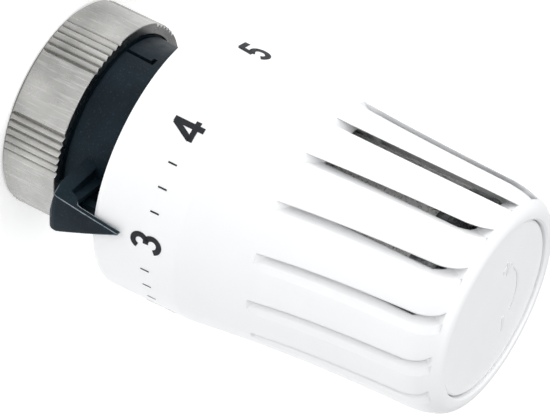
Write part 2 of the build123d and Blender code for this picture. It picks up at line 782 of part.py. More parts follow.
def wheel_blank():
    """The wheel without slots, stops and clips."""
    wall_bottom = DISC_BOTTOM - END_WALL
    rim_inner = DISC_RADIUS + DISC_GAP
    rim_chamfer = 0.35
    hub_chamfer = 0.35
    groove_radius = SLEEVE_OUTER + SNAP_RING_DEPTH + PIN_GAP
    groove_top = SNAP_RING_BOTTOM + SNAP_RING_THICKNESS + PIN_GAP
    round_share = 0.29
    rear = [
        (SHELL_INNER + 0.3, WHEEL_REAR_Z),
        (WHEEL_RADIUS - RIM_EDGE, WHEEL_REAR_Z),
        (WHEEL_RADIUS - round_share * RIM_EDGE, WHEEL_REAR_Z + round_share * RIM_EDGE),
        (WHEEL_RADIUS, WHEEL_REAR_Z + RIM_EDGE),
        (TAPER[0][1] * WHEEL_RADIUS, SHOULDER_Z),
    ]
    flank = taper_points()
    ending = round_points()
    inside = [
        (rim_inner + rim_chamfer, HEAD_LENGTH),
        (rim_inner, HEAD_LENGTH - rim_chamfer),
        (rim_inner, DISC_BOTTOM),
        (0, DISC_BOTTOM),
        (0, wall_bottom),
        (INNER_RADIUS - 2.4, wall_bottom),
        (INNER_RADIUS - 0.7, wall_bottom - 0.7),
        (INNER_RADIUS, wall_bottom - 2.4),
        (INNER_RADIUS + 0.2, SLOT_START),
        (SHELL_INNER - 1.1, SHOULDER_Z + 5.6),
        (SHELL_INNER, WEB_TOP),
        (HUB_OUTER, WEB_TOP),
        (HUB_OUTER, HUB_TOP),
        (SLEEVE_OUTER + hub_chamfer, HUB_TOP),
        (SLEEVE_OUTER, HUB_TOP - hub_chamfer),
        (SLEEVE_OUTER, groove_top),
        (groove_radius, groove_top),
        (groove_radius, SNAP_RING_BOTTOM),
        (SLEEVE_OUTER, SNAP_RING_BOTTOM),
        (SLEEVE_OUTER, HUB_BOTTOM),
        (HUB_OUTER, HUB_BOTTOM),
        (HUB_OUTER, WEB_BOTTOM),
        (SHELL_INNER, WEB_BOTTOM),
    ]
    edges = []
    edges += Polyline(*[(r, 0, z) for r, z in rear]).edges()
    edges += Spline(*[(r, 0, z) for r, z in flank]).edges()
    edges += Spline(*[(r, 0, z) for r, z in [flank[-1]] + ending],
                    tangents=[(-0.02, 0, 1), (-1, 0, 0)]).edges()
    back = [(ending[-1][0], HEAD_LENGTH)] + inside + [rear[0]]
    edges += Polyline(*[(r, 0, z) for r, z in back]).edges()
    return revolve(make_face(edges), axis=Axis.Z, revolution_arc=360)


def slot_width(z):
    """Width of a slot at a height, wider towards the numbered end."""
    share = (z - SLOT_START) / (ROUND_START - SLOT_START)
    return SLOT_WIDTH_START + (SLOT_WIDTH_END - SLOT_WIDTH_START) * share


def slot_wall(offset, radius):
    """Point where a slot's slanted flat wall crosses a radius.

    The wall starts offset away from angle 0 on the surface at the slot's start.
    """
    slant = radians(SLOT_SLANT)
    entry = outer_radius(SLOT_START)
    x = sqrt(entry ** 2 - offset ** 2)
    along = x * cos(slant) + offset * sin(slant)
    depth = along - sqrt(along ** 2 - entry ** 2 + radius ** 2)
    return (x - depth * cos(slant), offset - depth * sin(slant))


def stacked(outlines):
    """Solid through flat outlines given as (z, corners)."""
    faces = []
    for z, corners in outlines:
        outline = Polyline(*[(x, y, z) for x, y in corners], close=True)
        faces.append(make_face(outline.edges()))
    return loft(faces, ruled=True)


def slot_cutter():
    """Flat-walled slanted slot that ramps in at its start and runs out through the rounded end."""
    entry = outer_radius(SLOT_START)
    outside = entry + SLOT_OVERCUT
    floor = INNER_RADIUS - SLOT_FLOOR_DEPTH
    slot_end = HEAD_LENGTH - SLOT_END_DROP
    outlines = []
    for z, depth in (
        (SLOT_START, entry + PIN_GAP),
        (SLOT_START + SLOT_RAMP, floor),
        (slot_end - SLOT_RUN_OUT, floor),
        (slot_end, outer_radius(slot_end) + PIN_GAP),
    ):
        width = slot_width(z)
        outlines.append((z, [
            slot_wall(0, outside),
            slot_wall(0, depth),
            slot_wall(width, depth),
            slot_wall(width, outside),
        ]))
    return stacked(outlines)


def slot_bevel():
    """Shallow facet along a slot's blunt side."""
    flank_steps = 5
    levels = [SLOT_START + PIN_GAP, SLOT_START + SLOT_BEVEL_RUN_IN]
    flank_step = (ROUND_START - levels[-1]) / flank_steps
    levels += [levels[-1] + flank_step * (i + 1) for i in range(flank_steps)]
    round_steps = 5
    round_step = (HEAD_LENGTH - SLOT_END_DROP - ROUND_START) / round_steps
    levels += [ROUND_START + round_step * (i + 1) for i in range(round_steps)]
    outlines = []
    for z in levels:
        radius = outer_radius(z)
        width = slot_width(z)
        share = min(1.0, 0.2 + 0.8 * (z - SLOT_START) / SLOT_BEVEL_RUN_IN)
        depth = radius - SLOT_BEVEL_DEPTH * share
        x, y = slot_wall(width, depth)
        near = degrees(atan2(y, x))
        x, y = slot_wall(width, radius)
        far = degrees(atan2(y, x)) + arc_width(SLOT_BEVEL_WIDTH * share, radius)
        outlines.append((z, [
            polar(depth, near),
            polar(radius + SEAT_GAP, far),
            polar(radius + SLOT_OVERCUT, far),
            polar(radius + SLOT_OVERCUT, near),
        ]))
    return stacked(outlines)


def stop_rib_angles():
    """Angles of the two ribs that meet the base's stop finger at the ends of the turn."""
    reach = arc_width(STOP_FINGER_WIDTH / 2 + STOP_RIB_WIDTH / 2 + STOP_MARGIN, STOP_FINGER_RADIUS)
    return [STOP_FINGER_ANGLE + TURN_BACK + reach, STOP_FINGER_ANGLE - TURN_ON - reach]


def limit_clip_angles():
    """The clips are parked on the side of the gutter that the stop finger never reaches."""
    first, second = stop_rib_angles()
    centre = (first + second + 360) / 2
    return [centre - LIMIT_CLIP_SPACING / 2, centre + LIMIT_CLIP_SPACING / 2]


def handwheel():
    wheel = wheel_blank()
    cutters = [slot_cutter(), slot_bevel()]
    slots = []
    for angle in spread(SLOT_COUNT, SLOT_FIRST_ANGLE):
        slots += [Rot(0, 0, angle) * cutter for cutter in cutters]
    wheel -= slots
    gutter_outer = SHELL_INNER + MERGE
    gutter_inner = HUB_OUTER - MERGE
    for angle in stop_rib_angles():
        wheel += radial_block(gutter_inner, gutter_outer, STOP_RIB_WIDTH, STOP_RIB_BOTTOM,
                              WEB_BOTTOM + MERGE, angle)
    side = arc_width((LIMIT_CLIP_WIDTH + LIMIT_CLIP_WALL) / 2 + FACE_GAP, STOP_FINGER_RADIUS)
    for angle in limit_clip_angles():
        for sign in (-1, 1):
            wheel += radial_block(gutter_inner, gutter_outer, LIMIT_CLIP_WALL, HUB_BOTTOM,
                                  WEB_BOTTOM + MERGE, angle + sign * side)
    for angle in spread(SLEEVE_LUGS, SLEEVE_LUG_ANGLE):
        wheel -= radial_block(SLEEVE_OUTER - 1, SLEEVE_OUTER + SLEEVE_LUG_HEIGHT,
                              SLEEVE_LUG_WIDTH, HUB_BOTTOM - 1,
                              SLEEVE_BOTTOM + SLEEVE_LUG_LENGTH, angle)
    for angle in spread(CLIP_LEGS, CLIP_LEG_ANGLE):
        wheel -= radial_block(CLIP_LEG_RADIUS - CLIP_LEG / 2 - FACE_GAP,
                              CLIP_LEG_RADIUS + CLIP_LEG / 2 + CLIP_HOOK,
                              CLIP_LEG_WIDTH + 2 * FACE_GAP,
                              DISC_BOTTOM - END_WALL - 1, DISC_BOTTOM + 1, angle)
    return wheel


def end_disc():
    top = HEAD_LENGTH - DISC_SINK
    disc = turned([
        (0, DISC_BOTTOM),
        (DISC_RADIUS, DISC_BOTTOM),
        (DISC_RADIUS, top - DISC_EDGE),
        (DISC_RADIUS - DISC_EDGE, top),
        (0, top),
    ])
    hook_top = DISC_BOTTOM - END_WALL - PIN_GAP
    hook_bottom = hook_top - CLIP_HOOK_HEIGHT
    leg_inner = CLIP_LEG_RADIUS - CLIP_LEG / 2
    leg_outer = CLIP_LEG_RADIUS + CLIP_LEG / 2
    for angle in spread(CLIP_LEGS, CLIP_LEG_ANGLE):
        disc += radial_block(leg_inner, leg_outer, CLIP_LEG_WIDTH, hook_bottom,
                             DISC_BOTTOM + MERGE, angle)
        disc += radial_block(leg_inner - CLIP_HOOK, CLIP_LEG_RADIUS, CLIP_LEG_WIDTH,
                             hook_bottom, hook_top, angle)
    return disc


def limit_clips():
    """Two identical clips, one group."""
    head_reach = 0.7
    head_centre = LIMIT_CLIP_LENGTH - LIMIT_CLIP_HEAD / 2
    clips = []
    for angle in limit_clip_angles():
        shank = Pos(STOP_FINGER_RADIUS, 0, WEB_BOTTOM - LIMIT_CLIP_LENGTH / 2) * Box(
            LIMIT_CLIP_THICKNESS, LIMIT_CLIP_WIDTH, LIMIT_CLIP_LENGTH)
        head = Pos(STOP_FINGER_RADIUS, 0, WEB_BOTTOM - head_centre) * Box(
            LIMIT_CLIP_THICKNESS, LIMIT_CLIP_WIDTH + 2 * head_reach, LIMIT_CLIP_HEAD)
        clips.append(Rot(0, 0, angle) * (shank + head))
    return Compound(children=[solid for clip in clips for solid in clip.solids()])


# ---------------------------------------------------------------- write every piece
PIECES = {
    "union_nut": union_nut,
    "nut_retaining_ring": nut_retaining_ring,
    "base_housing": base_housing,
    "pin_guide_bush": pin_guide_bush,
    "push_pin": push_pin,
    "overtravel_cup": overtravel_cup,
    "cup_circlip": cup_circlip,
    "overtravel_spring": overtravel_spring,
    "spring_cover": spring_cover,
    "sensor_can": sensor_can,
    "sensor_cap": sensor_cap,
    "sensor_end_plate": sensor_end_plate,
    "bellows": bellows,
    "bellows_cap": bellows_cap,
    "bellows_plunger": bellows_plunger,
    "filling_plug": filling_plug,
    "sensor_carrier": sensor_carrier,
    "adjusting_sleeve": adjusting_sleeve,
    "thrust_washer": thrust_washer,
    "wheel_snap_ring": wheel_snap_ring,
    "handwheel": handwheel,
    "end_disc": end_disc,
    "limit_clips": limit_clips,
}

os.makedirs("parts", exist_ok=True)
for name, make in PIECES.items():
    export_step(make(), f"parts/{name}.step")
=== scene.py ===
import bpy, json, math
from mathutils import Matrix, Vector
from mathutils.bvhtree import BVHTree


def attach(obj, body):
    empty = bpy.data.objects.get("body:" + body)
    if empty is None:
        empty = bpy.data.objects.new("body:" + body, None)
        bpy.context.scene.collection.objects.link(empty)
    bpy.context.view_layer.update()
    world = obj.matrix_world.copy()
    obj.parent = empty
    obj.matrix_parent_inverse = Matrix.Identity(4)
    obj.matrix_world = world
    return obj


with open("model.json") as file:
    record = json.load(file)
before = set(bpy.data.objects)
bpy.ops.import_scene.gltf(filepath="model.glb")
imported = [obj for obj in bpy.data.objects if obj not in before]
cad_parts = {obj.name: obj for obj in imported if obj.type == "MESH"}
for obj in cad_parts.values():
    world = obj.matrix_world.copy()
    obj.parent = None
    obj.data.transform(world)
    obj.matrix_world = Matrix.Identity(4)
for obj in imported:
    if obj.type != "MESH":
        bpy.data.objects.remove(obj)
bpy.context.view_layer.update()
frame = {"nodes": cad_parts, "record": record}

# Thermostatic radiator valve head.  Metres, in the row frame: +Z along the head's axis,
# origin in the centre of the union nut's valve-side face.
MM = 0.001
nodes = frame["nodes"]

# ------------------------------------------------------------------ camera
# The camera stands on the -Y side, raised, and is rolled so that the head's axis runs
# down to the right in the picture.
CAMERA_DISTANCE = 0.7063
CAMERA_ELEVATION = 21.1
CAMERA_ROLL = 115.95
CAMERA_AIM = Vector((0.0008, 0.0, 0.0432))
CAMERA_LENS = 277.1
CAMERA_SENSOR = 36
CAMERA_CLIP = (0.05, 20)

# ------------------------------------------------------------------ floor and light
FLOOR_GLOW = 0.45
FLOOR_HALF_SIZE = 6
WORLD_COLOUR = (0.97, 0.985, 1.0, 1)
WORLD_STRENGTH = 0.435
LIGHT_AIM = Vector((0, 0, 0.045))
# Name, position, side and power in watts of the square lights.
LIGHTS = (
    ("key", (-0.9, -0.35, 0.35), 0.9, 3.2),
    ("front", (-0.2, -0.95, 0.5), 0.4, 1.4),
    ("overhead", (0.0, -0.2, 1.15), 1.1, 6.6),
)

# ------------------------------------------------------------------ dial
# Angles in degrees.  The middle digit is the one at the pointer at rest.
DIAL_MIDDLE = 32.6 * MM
DIAL_FIRST_ANGLE = -50.5
DIAL_PITCH = 50.0
MIDDLE_DIGIT = 3
FROST_OFFSET = 140
DIGIT_STROKE = 1.02 * MM
FROST_STROKE = 0.5 * MM
MARK_LENGTH = 1.65 * MM
MARK_WIDTH = 0.30 * MM
MARK_OFFSETS = (14.5, 25.0, 35.5)
MARK_MIDDLE = {-1: 33.1 * MM, 1: 32.8 * MM}
INK_LIFT = 0.03 * MM
INK_THICKNESS = 0.02 * MM
PROBE_START = 0.04

# Sizes of the strokes before they are wrapped, in millimetres and degrees.
FROST_ARMS = 6
FROST_ARM = 2.5
FROST_BARB_ROOT = 1.5
FROST_BARB = 0.85
FROST_BARB_ANGLE = 50
STROKE_STEP = 0.25
MITRE_LIMIT = 0.6

# ------------------------------------------------------------------ raised motif on the end disc
MOTIF_RADIUS = 7.5 * MM
MOTIF_MIDDLE = 140.0
MOTIF_SWEEP = 84.0
MOTIF_WIDTH = 0.7 * MM
MOTIF_HEIGHT = 0.12 * MM
MOTIF_SIGN = 3.0 * MM
MOTIF_SIGN_GAP = 20.0
MOTIF_SINK = 0.05 * MM
MOTIF_UPRIGHT_LIFT = 0.01 * MM
MOTIF_STEPS = 32
MOTIF_END_SHARE = 0.35
MOTIF_SWELL_SHARE = 0.65

# ------------------------------------------------------------------ cosmetic thread of the nut
THREAD_WALL = 14.188 * MM
THREAD_CREST = 13.9 * MM
THREAD_PITCH = 1.5 * MM
THREAD_START = 1.1 * MM
THREAD_END = 6.0 * MM
THREAD_ROOT = THREAD_WALL + 0.06 * MM
THREAD_FADE = THREAD_WALL + 0.05 * MM
THREAD_ROOT_HALF = 0.6 * MM
THREAD_CREST_HALF = 0.1 * MM
THREAD_STEPS = 48
THREAD_RUN_IN = 12


# ------------------------------------------------------------------ node helpers
def new_material(name):
    material = bpy.data.materials.new(name)
    material.use_nodes = True
    tree = material.node_tree
    tree.nodes.clear()
    output = tree.nodes.new("ShaderNodeOutputMaterial")
    shader = tree.nodes.new("ShaderNodeBsdfPrincipled")
    tree.links.new(shader.outputs["BSDF"], output.inputs["Surface"])
    return material, tree, shader


def place(tree, scale=(1, 1, 1)):
    """Object coordinates, stretched by scale."""
    coordinates = tree.nodes.new("ShaderNodeTexCoord")
    mapping = tree.nodes.new("ShaderNodeMapping")
    mapping.inputs["Scale"].default_value = scale
    tree.links.new(coordinates.outputs["Object"], mapping.inputs["Vector"])
    return mapping.outputs["Vector"]


def noise(tree, vector, scale, detail=3.0, roughness=0.5):
    node = tree.nodes.new("ShaderNodeTexNoise")
    node.inputs["Scale"].default_value = scale
    node.inputs["Detail"].default_value = detail
    node.inputs["Roughness"].default_value = roughness
    tree.links.new(vector, node.inputs["Vector"])
    return node.outputs["Fac"]


def ramp(tree, value, stops):
    """Colour ramp with (position, colour) stops."""
    node = tree.nodes.new("ShaderNodeValToRGB")
    elements = node.color_ramp.elements
    while len(elements) > 1:
        elements.remove(elements[-1])
    elements[0].position = stops[0][0]
    elements[0].color = (*stops[0][1], 1)
    for position, colour in stops[1:]:
        elements.new(position).color = (*colour, 1)
    tree.links.new(value, node.inputs["Fac"])
    return node.outputs["Color"]


def spread(tree, value, low, high, from_low=0.3, from_high=0.7):
    """Value moved from one range to another."""
    node = tree.nodes.new("ShaderNodeMapRange")
    node.inputs["From Min"].default_value = from_low
    node.inputs["From Max"].default_value = from_high
    node.inputs["To Min"].default_value = low
    node.inputs["To Max"].default_value = high
    tree.links.new(value, node.inputs["Value"])
    return node.outputs["Result"]


def mix(tree, factor, first, second):
    node = tree.nodes.new("ShaderNodeMix")
    node.data_type = "RGBA"
    tree.links.new(factor, node.inputs["Factor"])
    for socket, value in ((node.inputs["A"], first), (node.inputs["B"], second)):
        if isinstance(value, tuple):
            socket.default_value = (*value, 1)
        else:
            tree.links.new(value, socket)
    return node.outputs["Result"]


def bump(tree, height, strength, distance, normal=None):
    """Normal with small relief of a strength and a depth, on top of another normal."""
    node = tree.nodes.new("ShaderNodeBump")
    node.inputs["Strength"].default_value = strength
    node.inputs["Distance"].default_value = distance
    tree.links.new(height, node.inputs["Height"])
    if normal is not None:
        tree.links.new(normal, node.inputs["Normal"])
    return node.outputs["Normal"]


def soft_edges(tree, radius):
    """Normal that rounds every sharp edge a little."""
    node = tree.nodes.new("ShaderNodeBevel")
    node.samples = 6
    node.inputs["Radius"].default_value = radius
    return node.outputs["Normal"]


def edge_mask(tree, radius, low, high):
    """Value that rises from 0 to 1 close to sharp edges."""
    geometry = tree.nodes.new("ShaderNodeNewGeometry")
    dot = tree.nodes.new("ShaderNodeVectorMath")
    dot.operation = "DOT_PRODUCT"
    tree.links.new(soft_edges(tree, radius), dot.inputs[0])
    tree.links.new(geometry.outputs["Normal"], dot.inputs[1])
    return spread(tree, dot.outputs["Value"], 1.0, 0.0, low, high)


def product(tree, first, second):
    node = tree.nodes.new("ShaderNodeMath")
    node.operation = "MULTIPLY"
    tree.links.new(first, node.inputs[0])
    tree.links.new(second, node.inputs[1])
    return node.outputs["Value"]


def beyond(tree, start, end):
    """Value that rises from 0 to 1 between two distances from the head's axis."""
    node = tree.nodes.new("ShaderNodeVectorMath")
    node.operation = "LENGTH"
    tree.links.new(place(tree, (1, 1, 0)), node.inputs[0])
    return spread(tree, node.outputs["Value"], 0.0, 1.0, start, end)


def occlusion_shade(tree, distance, low, high):
    """Ambient-occlusion value that rises from 0 to 1 inside grooves and corners, where painted
    shade goes.
    """
    node = tree.nodes.new("ShaderNodeAmbientOcclusion")
    node.samples = 8
    node.inputs["Distance"].default_value = distance
    return spread(tree, node.outputs["AO"], 1.0, 0.0, low, high)


# ------------------------------------------------------------------ materials
def finish_with(tree, shader, colour, roughness, normal=None):
    """Link the three things that vary over a surface."""
    tree.links.new(colour, shader.inputs["Base Color"])
    tree.links.new(roughness, shader.inputs["Roughness"])
    if normal is not None:
        tree.links.new(normal, shader.inputs["Normal"])


def white_plastic(name, edge):
    """Glossy white moulding whose sharp edges look rounded by edge."""
    material, tree, shader = new_material(name)
    vector = place(tree)
    tone = ramp(tree, noise(tree, vector, 70, 4),
                [(0.3, (0.915, 0.918, 0.93)), (0.7, (0.94, 0.943, 0.95))])
    gloss = spread(tree, noise(tree, vector, 350, 5), 0.30, 0.42)
    shader.inputs["Subsurface Weight"].default_value = 0.35
    shader.inputs["Subsurface Radius"].default_value = (1.0, 1.0, 1.0)
    shader.inputs["Subsurface Scale"].default_value = 0.7 * MM
    shader.inputs["Coat Weight"].default_value = 0.15
    shader.inputs["Coat Roughness"].default_value = 0.2
    grain = bump(tree, noise(tree, vector, 1500, 4), 0.05, 0.02 * MM, soft_edges(tree, edge))
    finish_with(tree, shader, tone, gloss, grain)
    return material


def dark_plastic():
    """Blue-black moulding with a painted highlight along the pointer's crest."""
    material, tree, shader = new_material("dark_plastic")
    vector = place(tree)
    cloud = ramp(tree, noise(tree, vector, 160, 5),
                 [(0.3, (0.004, 0.010, 0.016)), (0.7, (0.008, 0.019, 0.027))])
    speck = spread(tree, noise(tree, vector, 3200, 3, 0.6), 0.0, 0.3, 0.58, 0.76)
    tone = mix(tree, speck, cloud, (0.08, 0.11, 0.13))
    # Painted highlight: a pale colour on the sharp edges of the pointer's outer crest, where
    # light catches them.
    crest_highlight_colour = ramp(tree, noise(tree, vector, 420, 4),
               [(0.36, (0.10, 0.13, 0.15)), (0.56, (0.45, 0.52, 0.56))])
    edges = edge_mask(tree, 0.28 * MM, 0.90, 0.995)
    crest = product(tree, edges, beyond(tree, 24.0 * MM, 24.6 * MM))
    with_crest_highlight = mix(tree, crest, tone, crest_highlight_colour)
    gloss = spread(tree, noise(tree, vector, 600, 4), 0.40, 0.55)
    shader.inputs["Specular IOR Level"].default_value = 0.12
    edge = soft_edges(tree, 0.12 * MM)
    grain = bump(tree, noise(tree, vector, 2600, 4, 0.6), 0.25, 0.05 * MM, edge)
    finish_with(tree, shader, with_crest_highlight, gloss, grain)
    return material


def nickel():
    """Brushed nickel plating, with a painted highlight on the edges and painted shade in the
    grooves.
    """
    material, tree, shader = new_material("nickel_plating")
    vector = place(tree)
    shader.inputs["Metallic"].default_value = 1.0
    cloud = ramp(tree, noise(tree, vector, 90, 6),
                 [(0.3, (0.28, 0.278, 0.268)), (0.7, (0.48, 0.475, 0.46))])
    speck = spread(tree, noise(tree, vector, 1300, 3, 0.7), 0.0, 0.45, 0.60, 0.80)
    tone = mix(tree, speck, cloud, (0.28, 0.26, 0.23))
    drag = noise(tree, place(tree, (1, 1, 0.05)), 3400, 4, 0.65)
    streak = spread(tree, drag, 0.0, 0.35, 0.52, 0.72)
    brushed = mix(tree, streak, tone, (0.80, 0.80, 0.78))
    # Painted highlight: near-white colour on the sharp edges.
    edges = edge_mask(tree, 0.1 * MM, 0.80, 0.97)
    with_edge_highlight = mix(tree, edges, brushed, (0.92, 0.92, 0.90))
    # Painted shade: dark colour laid into grooves and corners by ambient occlusion.
    with_groove_shade = mix(tree, occlusion_shade(tree, 0.5 * MM, 0.5, 0.9), with_edge_highlight, (0.17, 0.165, 0.15))
    gloss = spread(tree, noise(tree, vector, 420, 5), 0.22, 0.36)
    grain = bump(tree, drag, 0.4, 0.03 * MM, soft_edges(tree, 0.06 * MM))
    finish_with(tree, shader, with_groove_shade, gloss, grain)
    return material


def sensor_metal():
    """Pale mottled skin of the sensor can, with dark specks; the pale mottle is painted
    reflection that stands in for the shine of its metal.
    """
    material, tree, shader = new_material("sensor_metal")
    vector = place(tree)
    shader.inputs["Metallic"].default_value = 0.1
    # Painted reflection: the pale patches of the mottle stand in for light that the metal
    # reflects.
    cloud = ramp(tree, noise(tree, vector, 900, 6, 0.7),
                 [(0.30, (0.48, 0.48, 0.46)), (0.45, (0.86, 0.855, 0.83)),
                  (0.7, (0.97, 0.97, 0.95))])
    speck = spread(tree, noise(tree, vector, 1900, 3, 0.7), 0.0, 0.85, 0.55, 0.64)
    tone = mix(tree, speck, cloud, (0.08, 0.08, 0.075))
    gloss = spread(tree, noise(tree, vector, 700, 5), 0.2, 0.4)
    grain = bump(tree, noise(tree, vector, 1100, 5), 0.3, 0.05 * MM)
    finish_with(tree, shader, tone, gloss, grain)
    return material


def cap_plastic():
    """Darker end cap of the sensor with a mottled skin, dark to pale at random."""
    material, tree, shader = new_material("cap_plastic")
    vector = place(tree)
    shader.inputs["Metallic"].default_value = 0.6
    tone = ramp(tree, noise(tree, vector, 420, 6, 0.7),
                [(0.34, (0.04, 0.045, 0.048)), (0.50, (0.14, 0.15, 0.155)),
                 (0.64, (0.42, 0.43, 0.43))])
    gloss = spread(tree, noise(tree, vector, 600, 4), 0.2, 0.4)
    edge = soft_edges(tree, 0.15 * MM)
    grain = bump(tree, noise(tree, vector, 1400, 4), 0.2, 0.04 * MM, edge)
    finish_with(tree, shader, tone, gloss, grain)
    return material


def turned_metal(name, low, high, roughness):
    """Plain turned or drawn metal with fine rings round the axis."""
    material, tree, shader = new_material(name)
    vector = place(tree)
    shader.inputs["Metallic"].default_value = 1.0
    tone = ramp(tree, noise(tree, vector, 260, 5), [(0.3, low), (0.7, high)])
    gloss = spread(tree, noise(tree, vector, 900, 4), roughness - 0.08, roughness + 0.1)
    rings = noise(tree, place(tree, (0.03, 0.03, 1)), 3000, 3)
    grain = bump(tree, rings, 0.25, 0.03 * MM, soft_edges(tree, 0.08 * MM))
    finish_with(tree, shader, tone, gloss, grain)
    return material


def grey_plastic():
    """Plain grey moulding of the inner parts."""
    material, tree, shader = new_material("grey_plastic")
    vector = place(tree)
    tone = ramp(tree, noise(tree, vector, 200, 5),
                [(0.3, (0.20, 0.205, 0.21)), (0.7, (0.26, 0.265, 0.27))])
    gloss = spread(tree, noise(tree, vector, 500, 4), 0.45, 0.6)
    edge = soft_edges(tree, 0.1 * MM)
    grain = bump(tree, noise(tree, vector, 2200, 4), 0.2, 0.04 * MM, edge)
    finish_with(tree, shader, tone, gloss, grain)
    return material


def ink():
    """Matt black print of the dial."""
    material, tree, shader = new_material("dial_ink")
    vector = place(tree)
    tone = ramp(tree, noise(tree, vector, 900, 4),
                [(0.3, (0.013, 0.015, 0.018)), (0.7, (0.024, 0.027, 0.032))])
    gloss = spread(tree, noise(tree, vector, 1500, 4), 0.45, 0.65)
    shader.inputs["Specular IOR Level"].default_value = 0.2
    finish_with(tree, shader, tone, gloss)
    return material


def floor_material():
    """Pale paper that glows a little, so that it stays near white."""
    material, tree, shader = new_material("floor_paper")
    tone = ramp(tree, noise(tree, place(tree), 8, 3),
                [(0.3, (0.93, 0.93, 0.93)), (0.7, (0.95, 0.95, 0.95))])
    tree.links.new(tone, shader.inputs["Base Color"])
    tree.links.new(tone, shader.inputs["Emission Color"])
    shader.inputs["Emission Strength"].default_value = FLOOR_GLOW
    shader.inputs["Roughness"].default_value = 0.9
    return material


def paint_nodes():
    """Give every CAD node the finish of its material slot."""
    finishes = {
        "white_plastic": white_plastic("white_plastic", 0.2 * MM),
        "dark_plastic": dark_plastic(),
        "nickel_plated_brass": nickel(),
        "sensor_steel": sensor_metal(),
        "spring_steel": turned_metal("spring_steel", (0.40, 0.41, 0.43),
                                     (0.56, 0.57, 0.59), 0.32),
        "brass": turned_metal("turned_brass", (0.58, 0.42, 0.17), (0.74, 0.57, 0.27), 0.3),
        "grey_plastic": grey_plastic(),
    }
    for entry in frame["record"]["subparts"]:
        mesh = nodes[entry["node"]].data
        mesh.materials.clear()
        mesh.materials.append(finishes[entry["material_slot"]])
    nodes["sensor_cap"].data.materials[0] = cap_plastic()
    return finishes


# ------------------------------------------------------------------ dial print
def arc_points(centre, across, up, start, end, steps=14):
    """Points of an elliptical arc, angles in degrees."""
    points = []
    for i in range(steps + 1):
        angle = math.radians(start + (end - start) * i / steps)
        points.append((centre[0] + across * math.cos(angle), centre[1] + up * math.sin(angle)))
    return points


def digit_strokes(digit):
    """Centre lines of a digit in millimetres, x to the right and y up, 5.7 mm high."""
    if digit == 1:
        flag = [(-1.15, 1.25), (-0.55, 1.6), (0.15, 2.35), (0.35, 2.85)]
        return [flag, [(0.3, 2.85), (0.3, -2.85)]]
    if digit == 2:
        bowl = arc_points((0, 1.15), 1.18, 1.2, 165, -28)
        return [bowl + [(-1.1, -2.1), (-1.5, -2.36)], [(-1.68, -2.36), (1.62, -2.36)]]
    if digit == 3:
        upper = arc_points((-0.02, 1.12), 1.2, 1.26, 162, -62)
        lower = arc_points((-0.02, -1.25), 1.3, 1.36, 62, -162)
        return [upper + [(-0.25, -0.06)], [(0.35, -0.03)] + lower[1:]]
    if digit == 4:
        stem = [(0.85, 2.9), (0.85, -2.85)]
        bar = [(-1.75, -1.3), (1.95, -1.3)]
        slope = [(0.62, 2.6), (-1.4, -1.2)]
        return [stem, bar, slope]
    bowl = arc_points((-0.02, -0.92), 1.25, 1.42, 128, -150)
    return [[(1.5, 2.38), (-1.0, 2.38)], [(-0.82, 2.6), (-1.12, -0.05)], [(-1.15, 0.0)] + bowl]


def frost_strokes():
    """A plain six-armed frost mark."""
    strokes = []
    for arm in range(FROST_ARMS):
        angle = math.radians(360 // FROST_ARMS * arm + 90)
        strokes.append([(0, 0), (FROST_ARM * math.cos(angle), FROST_ARM * math.sin(angle))])
        root = (FROST_BARB_ROOT * math.cos(angle), FROST_BARB_ROOT * math.sin(angle))
        for side in (-1, 1):
            barb = angle + side * math.radians(FROST_BARB_ANGLE)
            strokes.append([root, (root[0] + FROST_BARB * math.cos(barb),
                                   root[1] + FROST_BARB * math.sin(barb))])
    return strokes


def ribbon(path, width):
    """Left and right edge points of a stroke of constant width with mitred corners."""
    dense = [Vector(path[0])]
    for start, end in zip(path, path[1:]):
        start, end = Vector(start), Vector(end)
        parts = max(1, math.ceil((end - start).length / STROKE_STEP))
        dense += [start.lerp(end, i / parts) for i in range(1, parts + 1)]
    edges = []
    for i, point in enumerate(dense):
        before = (point - dense[i - 1]).normalized() if i else None
        after = (dense[i + 1] - point).normalized() if i < len(dense) - 1 else None
        before = before or after
        after = after or before
        normal = Vector((-(before + after).y, (before + after).x)).normalized()
        reach = width / 2 / max(MITRE_LIMIT, normal.dot(Vector((-before.y, before.x))))
        edges.append((point + normal * reach, point - normal * reach))
    return edges


def wheel_surface():
    """Function that gives the wheel's outer radius at an angle and a height."""
    wheel = nodes["handwheel"]
    tree = BVHTree.FromPolygons([v.co for v in wheel.data.vertices],
                                [p.vertices for p in wheel.data.polygons])

    def radius_at(angle, z):
        outward = Vector((math.cos(angle), math.sin(angle), 0))
        hit = tree.ray_cast(outward * PROBE_START + Vector((0, 0, z)), -outward)[0]
        return math.hypot(hit.x, hit.y)
    return radius_at


def linked_mesh(name, verts, faces, material):
    """New object of one material in the scene."""
    mesh = bpy.data.meshes.new(name)
    mesh.from_pydata(verts, [], faces)
    mesh.materials.append(material)
    piece = bpy.data.objects.new(name, mesh)
    bpy.context.scene.collection.objects.link(piece)
    return piece


def print_on_wheel(name, strokes, width, centre_angle, middle, material, radius_at):
    """Printed strokes wrapped on the wheel; x runs towards lower angles and y towards the nut."""
    verts, faces = [], []
    for path in strokes:
        for i, (left, right) in enumerate(ribbon(path, width / MM)):
            for side in (left, right):
                z = middle - side.y * MM
                guess = radius_at(math.radians(centre_angle), z)
                angle = math.radians(centre_angle) - side.x * MM / guess
                radius = radius_at(angle, z) + INK_LIFT
                verts.append((radius * math.cos(angle), radius * math.sin(angle), z))
            if i:
                n = len(verts)
                faces.append((n - 4, n - 3, n - 1, n - 2))
    piece = linked_mesh(name, verts, faces, material)
    solid = piece.modifiers.new("print_height", "SOLIDIFY")
    solid.thickness = INK_THICKNESS
    solid.offset = 0
    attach(piece, "wheel")


